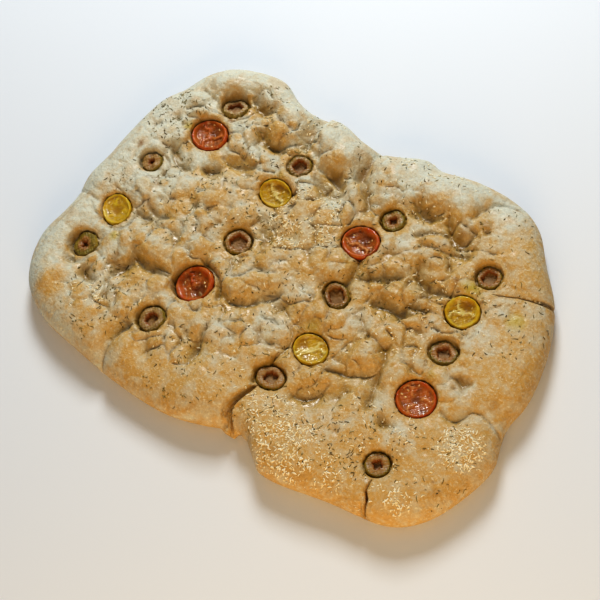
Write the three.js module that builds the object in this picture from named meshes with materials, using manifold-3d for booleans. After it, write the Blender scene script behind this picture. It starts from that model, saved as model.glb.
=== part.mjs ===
// A hand-shaped focaccia, baked flat on a tray: one slab of dough with finger presses, bubbles, folds and
// open cracks, and with slices of cherry tomato and rings of green olive pushed into it in four columns.
// Millimetres, +Z up. X runs along the loaf, and the flat underside lies on Z = 0.
import * as THREE from "three";
import { mergeVertices } from "three/addons/utils/BufferGeometryUtils.js";
import Module from "manifold-3d";

const wasm = await Module();
wasm.setup();

// Driving sizes of the dough.
const CROWN = 24; // height of the slab away from its edge
const BELLY = 9; // height at which the side is widest
const SHOULDER = 19; // how far in from the side the top rolls over
const SIDE_RINGS = [[1.4, 3.8], [5, 0]]; // tuck and height of the side's lines below the widest one
const ROLL = 2.3; // how squarely the top rolls over at the shoulder: 2 is round
const GRID_STEP = 6.3; // spacing of the surface points
const EDGE_STEPS = [0, 1.1, 2.4]; // closer lines next to the side
const EVEN_FROM = 5.6; // where the even spacing starts
const SMOOTHING = 3; // how far the relief is evened out
const THINNEST = 7; // no press goes deeper than this above the underside
const SEAT_GAP = 0.4; // clearance between a topping and the dough that holds it
const SEAT_RISE = 16; // how far the room for a topping stays open above it
const BURIED = 0.62; // share of a topping's thickness that lies below the dough around it

// The loaf's edge at its widest line, clockwise from the middle of the left end.
const OUTLINE = [
  [-168.5, -8], [-166, 10], [-164.5, 34], [-159.8, 63], [-151, 79], [-144, 95],
  [-133, 106.5], [-113, 115.3], [-92, 117.5], [-78, 110], [-60, 106], [-48, 110],
  [-38, 110], [-18, 104.8], [2, 105.7], [26, 114.8], [35, 112.2], [62, 117],
  [93, 116], [111.5, 107.5], [127.5, 89], [146.5, 67.5], [155, 51], [162, 29],
  [165.7, 4], [163.5, -16], [166, -27], [170, -40], [166.5, -59.5], [154, -88],
  [137, -102.8], [98.4, -110], [50, -117.2], [36, -106], [22, -103.5], [6, -110],
  [-21.8, -117.6], [-64, -117.3], [-97.5, -113], [-131, -106.8], [-155.5, -91.8], [-168.3, -62.8],
  [-165.2, -30],
];

// Soft hollows left by fingers: the line that the finger pressed, the hollow's reach and its depth.
const PRESSES = [
  [[-122, 36, -113, 26], 11, 5],
  [[-124, 13, -119, 9], 10, 4],
  [[-95, 34, -91, 33], 11, 4],
  [[-82, 47, -73, 45], 11, 5],
  [[-99, 93, -88, 87], 10, 5],
  [[-110, 86, -101, 89], 10, 4],
  [[-78, 70, -62, 66], 11, 6],
  [[-54, 93, -49, 81], 11, 7],
  [[-22, 73, -15, 67], 11, 7],
  [[-30, 65, -12, 58], 11, 5],
  [[-6, 88, -4, 79], 11, 7],
  [[17, 66, 14, 60], 9, 4],
  [[38, 77, 60, 76], 11, 7],
  [[66, 74, 80, 71], 11, 7],
  [[-41, 17, -33, 11], 11, 5],
  [[43, 42], 10, 4],
  [[40, 20, 57, 31], 9, 5],
  [[30, 22, 33, 10], 9, 6],
  [[82, 65], 11, 5],
  [[65, 57, 66, 46], 8, 4],
  [[77, 60, 78, 42], 9, 5],
  [[66, 36, 86, 33], 10, 7],
  [[58, 10, 68, 9, 75, 18], 9, 6],
  [[-108, -17], 11, 5],
  [[-104, -46, -102, -57], 11, 6],
  [[-118, -71], 11, 4],
  [[-97, -76], 11, 5],
  [[-136, -65], 11, 4],
  [[-96, -47, -75, -44], 10, 6],
  [[-38, -12], 10, 5],
  [[-33, -37, -25, -40, -16, -34], 9, 5],
  [[-6, -22, 3, -26], 9, 5],
  [[-26, -76], 11, 6],
  [[-55, -91], 11, 4],
  [[46, -69, 59, -62, 70, -51], 11, 6],
  [[78, -15], 9, 6],
  [[57, -39, 66, -43, 77, -34], 9, 5],
  [[81, -33, 88, -47], 10, 6],
  [[102, -54], 10, 4],
  [[128, -9], 10, 4],
  [[154, -11], 10, 4],
  [[50, -27], 9, 4],
  [[22, -47, 9, -47], 9, 4],
];

// Blisters and humps that the oven raised: centre, radius, height.
const BUBBLES = [
  [-136, 73, 11, 3], [-42, 93, 13, 3], [-24, 85, 14, 3], [-3, 67, 12, 4], [11, 61, 8, 3],
  [12, 12, 12, 3], [23, 20, 8, 3], [64, 65, 11, 3], [71, 50, 8, 4], [62, 21, 14, 4],
  [81, 24, 9, 4], [-25, -29, 14, 4], [-9, -13, 12, 3], [37, -16, 15, 3], [15, -40, 9, 3],
  [65, -25, 17, 4], [93, -23, 10, 3], [-30, -63, 10, 3], [-140, -84, 15, 3], [122, -63, 8, 2],
  [-92, -34, 15, 4], [-68, 90, 16, 3], [50, 91, 22, 3], [131, 84, 26, 3], [152, -48, 22, 2],
  [-66, -98, 17, 3], [-122, 95, 16, 3], [-120, -4, 16, 2], [-80, 20, 18, 3], [-20, 38, 18, 2],
  [58, -8, 12, 2], [95, 20, 14, 2], [-112, -92, 16, 2], [75, -93, 24, 2], [-8, -92, 24, 2],
];

// Creases where the dough was folded or has split without opening: line, reach and depth.
const FOLDS = [
  [[-50, 108, -50, 92, -48, 81], 9, 5],
  [[-48, 81, -38, 79, -30, 73], 8, 4],
  [[-4, 104, -7, 91, -4, 80, 4, 77, 12, 64], 9, 5],
  [[93, 115, 82, 107, 77, 98, 75, 89], 8, 4],
  [[50, 60, 58, 68, 68, 73], 8, 4],
  [[-170, -22, -150, -22, -142, -25], 8, 4],
  [[-70, -79, -73, -88, -77, -97, -78, -114], 9, 5],
  [[8, -24, 16, -28, 24, -30], 8, 4],
  [[52, -2, 59, -12, 57, -23], 9, 5],
  [[168, -18, 155, -20, 147, -19, 142, -22, 139, -31, 127, -30], 8, 4],
  [[-38, -70, -25, -71, -23, -82], 8, 4],
  [[-133, 80, -119, 76], 8, 4],
];

// Splits that stand open: line from the inner end outwards, width at either end, height of the floor.
const CRACKS = [
  { line: [19, -49, 19, -58], widths: [1, 2.4], floor: 12 },
  { line: [21, -74, 18, -82, 14, -91, 14, -98, 17, -104, 20, -114], widths: [2.4, 4.4], floor: 5 },
  { line: [113, 52, 118, 51, 126, 55.5, 136, 59.5, 152, 67], widths: [0.8, 2.4], floor: 7 },
  { line: [115, -87, 116, -93, 117, -100, 119, -112], widths: [0.8, 2.2], floor: 6 },
];

// Cherry tomato slices, cut face up: centre, half sizes, turn in plan, and the cut face's lean in degrees
// (how far, and towards which side of the plan).
const TOMATO_THICKNESS = 6.5;
const TOMATOES = [
  { name: "tomato_red_1", at: [-110.5, 55], half: [13.8, 12], turn: -8, lean: 8, to: 150 },
  { name: "tomato_red_2", at: [-54, -37.5], half: [13.8, 13.2], turn: 20, lean: 13, to: 210, sunk: 2.5 },
  { name: "tomato_red_3", at: [22, 39.5], half: [12.8, 12], turn: 12, lean: 5, to: 120 },
  { name: "tomato_red_4", at: [109.5, -31], half: [13, 12.6], turn: 0, lean: 4, to: 90 },
  { name: "tomato_yellow_1", at: [-131, -21.5], half: [12.6, 10.2], turn: -34, lean: 8, to: 200 },
  { name: "tomato_yellow_2", at: [-46.5, 42], half: [11.8, 10], turn: -4, lean: 10, to: 280 },
  { name: "tomato_yellow_3", at: [36, -37.5], half: [12.2, 10.6], turn: -8, lean: 5, to: 90 },
  { name: "tomato_yellow_4", at: [102.5, 32.5], half: [11.6, 10.8], turn: 10, lean: 9, to: 285 },
];

// Green olive slices, each a ring about the hole of the stone.
const OLIVE_THICKNESS = 6;
const OLIVES = [
  { name: "olive_1", at: [-107.6, 80], half: [9.8, 9], turn: 24, lean: 24, to: 121, hole: 0.5 },
  { name: "olive_2", at: [-132, 19], half: [8.2, 7.6], turn: 0, lean: 10, to: 200, hole: 0.2 },
  { name: "olive_3", at: [-44, 66], half: [8.9, 8.4], turn: 40, lean: 6, to: 300, hole: 0.46 },
  { name: "olive_4", at: [-134, -51.5], half: [10.2, 9.6], turn: -15, lean: 20, to: 215, hole: 0.2 },
  { name: "olive_5", at: [-47.5, 0], half: [9.9, 9.7], turn: 0, lean: 6, to: 60, hole: 0.52 },
  { name: "olive_6", at: [31.5, 64], half: [8.7, 8.2], turn: 0, lean: 12, to: 200, hole: 0.28 },
  { name: "olive_7", at: [-62, -72.5], half: [10.2, 9.8], turn: 0, lean: 14, to: 195, hole: 0.4 },
  { name: "olive_8", at: [30, 1.5], half: [10.4, 8.4], turn: -30, lean: 8, to: 240, hole: 0.56 },
  { name: "olive_9", at: [105.5, 59.5], half: [8.9, 8.7], turn: 0, lean: 10, to: 170, hole: 0.5 },
  { name: "olive_10", at: [107.5, 2.5], half: [10, 9.2], turn: 0, lean: 12, to: 110, hole: 0.4 },
  { name: "olive_11", at: [25.5, -66], half: [10.6, 8.6], turn: 5, lean: 12, to: 110, hole: 0.42 },
  { name: "olive_12", at: [112.5, -77.5], half: [8.8, 8.6], turn: 30, lean: 4, to: 90, hole: 0.3 },
];

// Each topping's own press in the dough, as shares of its size.
const TOPPING_PRESS_REACH = 1.75;
const TOPPING_PRESS_DEPTH = 5.5;

// Shreds of grated cheese and needles of dried herb large enough to see: each patch's centre and radius.
const SHRED_PATCHES = [
  { centre: [62, -97], radius: 20, count: 14, length: 4.2 },
  { centre: [40, -84], radius: 12, count: 5, length: 3.6 },
  { centre: [153, -46], radius: 14, count: 12, length: 4.2 },
  { centre: [-14, 38], radius: 24, count: 10, length: 3.6 },
  { centre: [136, -91], radius: 8, count: 4, length: 3.2 },
];
const HERB_PATCHES = [
  { centre: [-138, 45], radius: 20, count: 7, length: 3.4 },
  { centre: [-100, -78], radius: 30, count: 8, length: 4 },
  { centre: [95, -72], radius: 26, count: 6, length: 3.4 },
  { centre: [-20, -88], radius: 30, count: 5, length: 3 },
  { centre: [70, 35], radius: 36, count: 5, length: 3 },
];
const SHRED_GIRTH = 1.5;
const HERB_GIRTH = 1.1;
const SHRED_SEED = 4711;
const HERB_SEED = 1907;
const SHRED_SPACING = 4.6; // between the middles of any two
const SHRED_CLEARANCE = 4.5; // to a topping or a crack
const SHRED_FROM_EDGE = 10;
const SHRED_LIFT = 0.2; // share of its girth that a shred's middle stands over the dough
const TRIES_PER_SHRED = 60;

// Corners of a slice's profile, from the axis out: share of its radius, share of its thickness.
const TOMATO_PROFILE = [[0, 0], [0.72, 0], [0.97, 0.36], [1, 0.74], [0.92, 1], [0.76, 0.9], [0, 0.72]];
const TOMATO_FOOT = 0.74;
const OLIVE_FOOT = 0.88;
const WIDEST_AT = 0.36; // height of a seat's full width, as a share of the slice's thickness
const SEAT_GAP_ACROSS = 1.3; // sideways gap, as a multiple of the gap below
const SINKING_SHARE = 0.4; // share of a deeper press that also lowers its slice
const OUTLINE_STEPS = 1440;

const radians = THREE.MathUtils.degToRad;
const clamp = THREE.MathUtils.clamp;

// Numbers from 0 to 1 that are the same on every run.
function seededRandom(seed) {
  let state = seed;
  return () => {
    state = (state * 16807) % 2147483647;
    return state / 2147483647;
  };
}

// The outline as a distance from the middle in each direction.
const FULL_TURN = 2 * Math.PI;
const outlineTable = (() => {
  const corners = OUTLINE.map(([x, y]) => new THREE.Vector3(x, y, 0));
  const curve = new THREE.CatmullRomCurve3(corners, true, "centripetal");
  return curve
    .getPoints(OUTLINE_STEPS)
    .map((p) => [Math.atan2(p.y, p.x), Math.hypot(p.x, p.y)])
    .sort((a, b) => a[0] - b[0]);
})();

function outlineRadius(angle) {
  let low = 0;
  let high = outlineTable.length - 1;
  if (angle <= outlineTable[low][0] || angle >= outlineTable[high][0]) return outlineTable[low][1];
  while (high - low > 1) {
    const middle = (low + high) >> 1;
    if (outlineTable[middle][0] <= angle) low = middle;
    else high = middle;
  }
  const [a0, r0] = outlineTable[low];
  const [a1, r1] = outlineTable[high];
  return r0 + ((r1 - r0) * (angle - a0)) / Math.max(a1 - a0, 1e-9);
}

// How far a point lies from a line of points, given flat as x, y, x, y.
function distanceToLine(x, y, line) {
  if (line.length === 2) return Math.hypot(x - line[0], y - line[1]);
  let nearest = Infinity;
  for (let i = 0; i + 3 < line.length; i += 2) {
    const [ax, ay, bx, by] = line.slice(i, i + 4);
    const dx = bx - ax;
    const dy = by - ay;
    const t = clamp(((x - ax) * dx + (y - ay) * dy) / (dx * dx + dy * dy), 0, 1);
    nearest = Math.min(nearest, Math.hypot(x - ax - t * dx, y - ay - t * dy));
  }
  return nearest;
}

const softFall = (t) => (t >= 1 ? 0 : (1 - t * t) ** 2);
const sharpFall = (t) => (t >= 1 ? 0 : (1 - t) ** 1.3);

// Slow swells of the whole slab.
function swell(x, y) {
  const long = 0.9 * Math.sin(x / 23 + 0.7) * Math.cos(y / 19 - 0.4);
  return long + 0.6 * Math.sin((x + y) / 13) * Math.sin((x - y) / 17);
}

// Height of the dough's relief over the crown, before the edge rolls over.
function relief(x, y) {
  let z = swell(x, y);
  for (const [bx, by, radius, height] of BUBBLES) {
    z += height * softFall(Math.hypot(x - bx, y - by) / radius);
  }
  const hollows = [];
  for (const [line, reach, depth] of PRESSES) {
    hollows.push(depth * softFall(distanceToLine(x, y, line) / reach));
  }
  for (const piece of [...TOMATOES, ...OLIVES]) {
    const reach = TOPPING_PRESS_REACH * Math.max(...piece.half);
    const away = Math.hypot(x - piece.at[0], y - piece.at[1]);
    hollows.push((TOPPING_PRESS_DEPTH + (piece.sunk ?? 0)) * softFall(away / reach));
  }
  for (const [line, reach, depth] of FOLDS) {
    hollows.push(depth * sharpFall(distanceToLine(x, y, line) / reach));
  }
  return z - Math.cbrt(hollows.reduce((sum, hollow) => sum + hollow ** 3, 0));
}

// The relief evened out over a finger's breadth, so that the coarse surface follows it smoothly.
function evenRelief(x, y) {
  const s = SMOOTHING;
  const around = relief(x - s, y) + relief(x + s, y) + relief(x, y - s) + relief(x, y + s);
  return (2 * relief(x, y) + around) / 6;
}

// Height of the dough at a point that lies a given distance in from the widest line.
function doughHeight(x, y, inset) {
  const rolled = 1 - clamp(inset / SHOULDER, 0, 1);
  const arch = Math.sqrt(Math.max(0, 1 - rolled ** ROLL));
  const top = Math.max(CROWN + evenRelief(x, y), THINNEST);
  return BELLY + (top - BELLY) * arch;
}

// The inset of any point of the plan, measured along the line from the middle.
function insetAt(x, y) {
  return outlineRadius(Math.atan2(y, x)) - Math.hypot(x, y);
}

// Places of the grid lines from one side to the other, closer together at the sides.
function stations(half) {
  const inner = half - EVEN_FROM;
  const steps = Math.round((2 * inner) / GRID_STEP);
  const even = Array.from({ length: steps + 1 }, (_, i) => -inner + (2 * inner * i) / steps);
  const near = EDGE_STEPS.map((step) => half - step);
  return [...near.map((v) => -v), ...even, ...near.toReversed()].map((v) => v / half);
}

// A closed geometry from points and triangles.
function closedGeometry(points, triangles) {
  const geometry = new THREE.BufferGeometry();
  geometry.setAttribute("position", new THREE.Float32BufferAttribute(points.flat(), 3));
  geometry.setIndex(triangles.flat());
  return geometry;
}

// The slab of dough: a grid over the plan, pulled out to the outline, then a tucked side and flat underside.
function doughGeometry() {
  const halfX = Math.max(...OUTLINE.map(([x]) => Math.abs(x)));
  const halfY = Math.max(...OUTLINE.map(([, y]) => Math.abs(y)));
  const us = stations(halfX);
  const vs = stations(halfY);
  const points = [];
  const plan = [];
  for (const v of vs) {
    for (const u of us) {
      const x = u * halfX;
      const y = v * halfY;
      const ring = Math.max(Math.abs(u), Math.abs(v));
      const angle = Math.atan2(y, x);
      const toCorner = Math.hypot(x, y) / Math.max(ring, 1e-9);
      const pull = 1 + (outlineRadius(angle) / Math.max(toCorner, 1) - 1) * ring ** 3;
      const px = x * pull;
      const py = y * pull;
      plan.push([px, py]);
      points.push([px, py, doughHeight(px, py, Math.max(0, insetAt(px, py)))]);
    }
  }
  const columns = us.length;
  const rows = vs.length;
  const index = (column, row) => row * columns + column;
  const triangles = [];
  for (let row = 0; row + 1 < rows; row++) {
    for (let column = 0; column + 1 < columns; column++) {
      const [a, b] = [index(column, row), index(column + 1, row)];
      const [c, d] = [index(column + 1, row + 1), index(column, row + 1)];
      const alongAC = Math.abs(points[a][2] - points[c][2]) < Math.abs(points[b][2] - points[d][2]);
      if (alongAC) triangles.push([a, b, c], [a, c, d]);
      else triangles.push([a, b, d], [b, c, d]);
    }
  }
  let rim = [];
  for (let column = 0; column < columns; column++) rim.push(index(column, 0));
  for (let row = 1; row < rows; row++) rim.push(index(columns - 1, row));
  for (let column = columns - 2; column >= 0; column--) rim.push(index(column, rows - 1));
  for (let row = rows - 2; row > 0; row--) rim.push(index(0, row));
  const widest = rim.map((i) => plan[i]);
  for (const [tuck, z] of SIDE_RINGS) {
    const next = widest.map(([x, y]) => {
      const shrink = 1 - tuck / Math.hypot(x, y);
      return points.push([x * shrink, y * shrink, z]) - 1;
    });
    rim.forEach((a, k) => {
      const after = (k + 1) % rim.length;
      triangles.push([a, next[k], next[after]], [a, next[after], rim[after]]);
    });
    rim = next;
  }
  const centre = points.push([0, 0, 0]) - 1;
  rim.forEach((a, k) => triangles.push([a, centre, rim[(k + 1) % rim.length]]));
  return closedGeometry(points, triangles);
}

// A closed geometry as a solid that can be joined and cut.
function solidOf(geometry) {
  const bare = geometry.clone();
  bare.deleteAttribute("normal");
  bare.deleteAttribute("uv");
  const merged = mergeVertices(bare, 1e-4);
  const mesh = new wasm.Mesh({
    numProp: 3,
    vertProperties: new Float32Array(merged.attributes.position.array),
    triVerts: new Uint32Array(merged.index.array),
  });
  return new wasm.Manifold(mesh);
}

function geometryOf(solid) {
  const mesh = solid.getMesh();
  const geometry = new THREE.BufferGeometry();
  geometry.setAttribute("position", new THREE.BufferAttribute(mesh.vertProperties, 3));
  geometry.setIndex(new THREE.BufferAttribute(mesh.triVerts, 1));
  return geometry;
}

// A profile of radius and height turned about Z. The profile runs anticlockwise, so its faces point out.
function turned(profile, segments) {
  const geometry = new THREE.LatheGeometry(
    profile.map(([r, z]) => new THREE.Vector2(r, z)),
    segments,
  );
  return geometry.rotateX(Math.PI / 2);
}

// A topping's seat: where it stands on the dough, its lean and its oval.
function seatOf(piece, thickness) {
  const [x, y] = piece.at;
  const floor = CROWN + relief(x, y);
  const axis = new THREE.Vector3(-Math.sin(radians(piece.to)), Math.cos(radians(piece.to)), 0);
  const seat = new THREE.Object3D();
  seat.position.set(x, y, floor - thickness * BURIED - (piece.sunk ?? 0) * SINKING_SHARE);
  seat.quaternion.setFromAxisAngle(axis, radians(piece.lean));
  seat.quaternion.multiply(
    new THREE.Quaternion().setFromAxisAngle(new THREE.Vector3(0, 0, 1), radians(piece.turn)),
  );
  seat.updateMatrix();
  return seat;
}

const TOMATO_SEGMENTS = 14;
const OLIVE_SEGMENTS = 12;

// A thick slice: skin rounded in towards its underside, a raised rim and a cut face that sank in the oven.
function tomatoGeometry({ half: [a, b] }) {
  return turned(TOMATO_PROFILE, TOMATO_SEGMENTS).scale(a, b, TOMATO_THICKNESS);
}

// A ring with a rounded skin and soft edges about the hole of the stone.
function oliveGeometry({ half: [a, b], hole = 0.45 }) {
  const t = OLIVE_THICKNESS;
  const wall = 1 - hole;
  const profile = [
    [hole, 0.2 * t], [hole + 0.2 * wall, 0], [0.86, 0.02 * t], [1, 0.5 * t], [0.88, 0.95 * t],
    [hole + 0.25 * wall, t], [hole, 0.78 * t], [hole, 0.2 * t],
  ];
  return turned(profile, OLIVE_SEGMENTS).scale(a, b, 1);
}

// The room that a topping takes up in the dough: its own width and a gap, open upwards.
function seatCutter({ half: [a, b] }, thickness, foot, segments) {
  const g = SEAT_GAP;
  const top = thickness + SEAT_RISE;
  const profile = [[0, -g], [foot, -g], [1, WIDEST_AT * thickness], [1, top], [0, top]];
  return turned(profile, segments).scale(a + g * SEAT_GAP_ACROSS, b + g * SEAT_GAP_ACROSS, 1);
}

// A thin upright blade along a crack, widening from one end to the other.
function crackGeometry({ line, widths, floor }) {
  const points = [];
  for (let i = 0; i < line.length; i += 2) points.push(new THREE.Vector2(line[i], line[i + 1]));
  const sides = points.map((point, i) => {
    const before = points[Math.max(i - 1, 0)];
    const after = points[Math.min(i + 1, points.length - 1)];
    const along = after.clone().sub(before).normalize();
    const half = THREE.MathUtils.lerp(widths[0], widths[1], i / (points.length - 1)) / 2;
    return { point, across: new THREE.Vector2(-along.y, along.x).multiplyScalar(half) };
  });
  const left = sides.map(({ point, across }) => point.clone().add(across));
  const right = sides.map(({ point, across }) => point.clone().sub(across)).reverse();
  const blade = new THREE.ExtrudeGeometry(new THREE.Shape([...left, ...right]), {
    depth: CROWN + SEAT_RISE - floor,
    bevelEnabled: false,
  });
  return blade.translate(0, 0, floor);
}

// A small pointed shred or needle lying on the dough, half sunk in it.
function shredGeometry(length, girth) {
  const h = length / 2;
  const w = girth / 2;
  const points = [[-h, 0, 0], [h, 0, 0], [0, w, 0], [0, 0, w], [0, -w, 0], [0, 0, -w]];
  const ring = [2, 3, 4, 5];
  const triangles = ring.flatMap((a, k) => {
    const b = ring[(k + 1) % ring.length];
    return [[1, a, b], [0, b, a]];
  });
  return closedGeometry(points, triangles);
}

// True where a shred would touch a topping, a crack or the edge.
function isTaken(x, y, clear) {
  const near = [...TOMATOES, ...OLIVES].some(
    ({ at, half }) => Math.hypot(x - at[0], y - at[1]) < Math.max(...half) + clear,
  );
  const byCrack = CRACKS.some(({ line }) => distanceToLine(x, y, line) < clear);
  return near || byCrack || insetAt(x, y) < SHRED_FROM_EDGE;
}

// The shreds of one kind, as solids spread evenly over their patches.
function scatteredShreds(patches, girth, seed) {
  const random = seededRandom(seed);
  const made = [];
  const places = [];
  for (const { centre, radius, count, length } of patches) {
    let tries = 0;
    for (let placed = 0; placed < count && tries < TRIES_PER_SHRED * count; tries++) {
      const far = radius * Math.sqrt(random());
      const bearing = FULL_TURN * random();
      const x = centre[0] + far * Math.cos(bearing);
      const y = centre[1] + far * Math.sin(bearing);
      const spin = Math.PI * random();
      const size = length * (0.8 + 0.5 * random());
      const crowded = places.some(([px, py]) => Math.hypot(x - px, y - py) < SHRED_SPACING);
      if (crowded || isTaken(x, y, SHRED_CLEARANCE)) continue;
      const z = doughHeight(x, y, insetAt(x, y)) + SHRED_LIFT * girth;
      made.push(shredGeometry(size, girth).rotateZ(spin).translate(x, y, z));
      places.push([x, y]);
      placed++;
    }
  }
  return made.map(solidOf);
}

function buildDough() {
  let dough = solidOf(doughGeometry());
  for (const piece of TOMATOES) {
    const cutter = seatCutter(piece, TOMATO_THICKNESS, TOMATO_FOOT, TOMATO_SEGMENTS);
    dough = dough.subtract(solidOf(cutter.applyMatrix4(seatOf(piece, TOMATO_THICKNESS).matrix)));
  }
  for (const piece of OLIVES) {
    const cutter = seatCutter(piece, OLIVE_THICKNESS, OLIVE_FOOT, OLIVE_SEGMENTS);
    dough = dough.subtract(solidOf(cutter.applyMatrix4(seatOf(piece, OLIVE_THICKNESS).matrix)));
  }
  for (const crack of CRACKS) dough = dough.subtract(solidOf(crackGeometry(crack)));
  const shreds = scatteredShreds(SHRED_PATCHES, SHRED_GIRTH, SHRED_SEED);
  const needles = scatteredShreds(HERB_PATCHES, HERB_GIRTH, HERB_SEED);
  for (const small of [...shreds, ...needles]) dough = dough.add(small);
  const bodies = dough.decompose().sort((a, b) => b.volume() - a.volume());
  return bodies[0];
}

function finish(colour, roughness) {
  return new THREE.MeshStandardMaterial({ color: colour, roughness, metalness: 0 });
}

const crust = finish(0xdcb67e, 0.75);
const redFlesh = finish(0xb4452a, 0.3);
const yellowFlesh = finish(0xc99a1e, 0.3);
const oliveFlesh = finish(0x6f6a35, 0.4);

const focaccia = new THREE.Group();

const bread = new THREE.Mesh(geometryOf(buildDough()), crust);
bread.name = "bread";
focaccia.add(bread);

function addTopping(piece, geometry, thickness, material) {
  const mesh = new THREE.Mesh(geometry, material);
  const seat = seatOf(piece, thickness);
  mesh.name = piece.name;
  mesh.position.copy(seat.position);
  mesh.quaternion.copy(seat.quaternion);
  focaccia.add(mesh);
}

for (const piece of TOMATOES) {
  const flesh = piece.name.includes("red") ? redFlesh : yellowFlesh;
  addTopping(piece, tomatoGeometry(piece), TOMATO_THICKNESS, flesh);
}
for (const piece of OLIVES) addTopping(piece, oliveGeometry(piece), OLIVE_THICKNESS, oliveFlesh);

// The middle of the loaf's box stands over the origin.
const box = new THREE.Box3().setFromObject(focaccia);
focaccia.position.set(-(box.min.x + box.max.x) / 2, -(box.min.y + box.max.y) / 2, 0);

export default focaccia;
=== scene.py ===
import math

import bpy
import numpy as np
from mathutils import Matrix, Vector


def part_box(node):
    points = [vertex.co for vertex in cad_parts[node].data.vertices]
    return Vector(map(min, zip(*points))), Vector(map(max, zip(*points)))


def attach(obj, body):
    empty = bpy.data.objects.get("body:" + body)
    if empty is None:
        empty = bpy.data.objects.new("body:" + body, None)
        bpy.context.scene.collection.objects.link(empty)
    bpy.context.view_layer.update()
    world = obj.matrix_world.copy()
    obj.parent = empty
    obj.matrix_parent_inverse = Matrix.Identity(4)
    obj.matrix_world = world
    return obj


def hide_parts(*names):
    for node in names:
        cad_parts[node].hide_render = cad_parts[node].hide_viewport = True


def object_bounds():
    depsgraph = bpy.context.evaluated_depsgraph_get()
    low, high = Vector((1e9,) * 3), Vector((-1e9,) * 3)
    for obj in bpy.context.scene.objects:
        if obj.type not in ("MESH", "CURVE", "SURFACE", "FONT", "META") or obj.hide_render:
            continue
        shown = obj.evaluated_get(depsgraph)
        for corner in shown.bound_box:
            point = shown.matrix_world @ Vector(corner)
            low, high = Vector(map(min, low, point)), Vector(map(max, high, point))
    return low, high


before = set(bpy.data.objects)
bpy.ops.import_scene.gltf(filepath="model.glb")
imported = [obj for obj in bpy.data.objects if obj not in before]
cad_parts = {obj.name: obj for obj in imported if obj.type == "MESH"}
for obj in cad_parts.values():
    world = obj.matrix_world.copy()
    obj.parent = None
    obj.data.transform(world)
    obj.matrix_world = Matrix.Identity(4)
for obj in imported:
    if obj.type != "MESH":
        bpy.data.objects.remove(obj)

cad_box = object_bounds()

# The view. The loaf is seen from above one corner, at the photograph's own height, turn and tilt, by a long
# lens about a metre away. All tables and arrays hold millimetres, and what is multiplied by mm is in metres.
mm = 0.001
view_azimuth = math.radians(53.19)
view_height = math.radians(63.44)
view_roll = math.radians(-20.23)
view_distance = 960.8 * mm
view_target = Vector((2.6, -6.8, 0)) * mm

away = Vector((
    math.sin(view_azimuth) * math.cos(view_height),
    -math.cos(view_azimuth) * math.cos(view_height),
    math.sin(view_height),
))
level = Vector((math.cos(view_azimuth), math.sin(view_azimuth), 0))
upright = away.cross(level)
across = math.cos(view_roll) * level + math.sin(view_roll) * upright
upwards = math.cos(view_roll) * upright - math.sin(view_roll) * level
bpy.ops.object.select_all(action="DESELECT")
bpy.ops.object.camera_add()
camera = bpy.context.object
camera.matrix_world = Matrix.Translation(view_target + away * view_distance) @ Matrix(
    (across, upwards, away)
).transposed().to_4x4()
camera.data.lens = 90
camera.data.sensor_width = 36
bpy.context.scene.camera = camera

# The light. A large cool window stands beyond the far long side, and a warm wall glows opposite it. The rest
# of the room is a weak pale blue.


def lamp(name, direction, distance, size, power, colour):
    """A square soft light that looks at the middle of the loaf. Its distance and size are in metres."""
    place = Vector(direction).normalized() * distance
    bpy.ops.object.light_add(type="AREA", location=place)
    light = bpy.context.object
    light.name = name
    light.rotation_euler = place.to_track_quat("Z", "Y").to_euler()
    light.data.size = size
    light.data.energy = power
    light.data.color = colour


lamp("window", (-0.51, 0.86, 0.86), 1.35, 0.42, 14.9, (0.93, 0.98, 1.0))
lamp("warm wall", (0.62, -0.78, 0.42), 0.85, 0.6, 4.5, (1.0, 0.68, 0.28))
world = bpy.data.worlds.new("room")
world.use_nodes = True
world.node_tree.nodes["Background"].inputs["Color"].default_value = (0.74, 0.86, 1.0, 1)
world.node_tree.nodes["Background"].inputs["Strength"].default_value = 0.2
bpy.context.scene.world = world
bpy.context.scene.view_settings.view_transform = "Standard"
bpy.context.scene.view_settings.look = "Medium High Contrast"

# The floor. Plain, matt and pale, and wide enough to fill the view. The loaf lies on it by its own weight.


def new_finish(name):
    """A material and its shader."""
    finish = bpy.data.materials.new(name)
    finish.use_nodes = True
    return finish, finish.node_tree.nodes["Principled BSDF"]


def feed(socket, value):
    """Puts a number, a colour or another node's output into a socket."""
    if isinstance(value, tuple):
        socket.default_value = (*value, 1)
    elif isinstance(value, (int, float)):
        socket.default_value = value
    else:
        socket.id_data.links.new(value, socket)


def settle(node, values):
    for name, value in values.items():
        feed(node.inputs[name], value)


def cover(piece, finish):
    piece.data.materials.clear()
    piece.data.materials.append(finish)


bpy.ops.mesh.primitive_plane_add(size=6)
floor = bpy.context.object
floor.name = "table_top"
floor_finish, floor_shader = new_finish("pale_table")
settle(floor_shader, {"Base Color": (0.76, 0.77, 0.79), "Roughness": 0.6})
cover(floor, floor_finish)

# The loaf. A slab of oiled yeast dough, pressed out by hand on a tray and baked once the toppings were in it.
# It starts as the solid's own form, with its seats and cracks filled and its surface made fine and soft.
loaf_voxel = 1.0 * mm
loaf_soft_rounds = 16
loaf_shift = Vector((-0.71, 0.29, 0)) * mm
merge_gap = 0.01 * mm
seat_depth = {"tomato": 5.4 * mm, "olive": 4.2 * mm}
seat_widening = 1.04
toppings = sorted(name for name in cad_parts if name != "bread")
# The size and the middle of each block that closes one of the solid's open cracks.
crack_fillings = [
    ((15, 27, 13), (18, -88, 9)),
    ((9, 8, 8), (20, -103, 7)),
    ((12, 17, 13), (118.5, -95, 8.5)),
    ((28, 12, 12), (129, 56, 9)),
]


def activate(piece):
    bpy.ops.object.select_all(action="DESELECT")
    piece.select_set(True)
    bpy.context.view_layer.objects.active = piece


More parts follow.
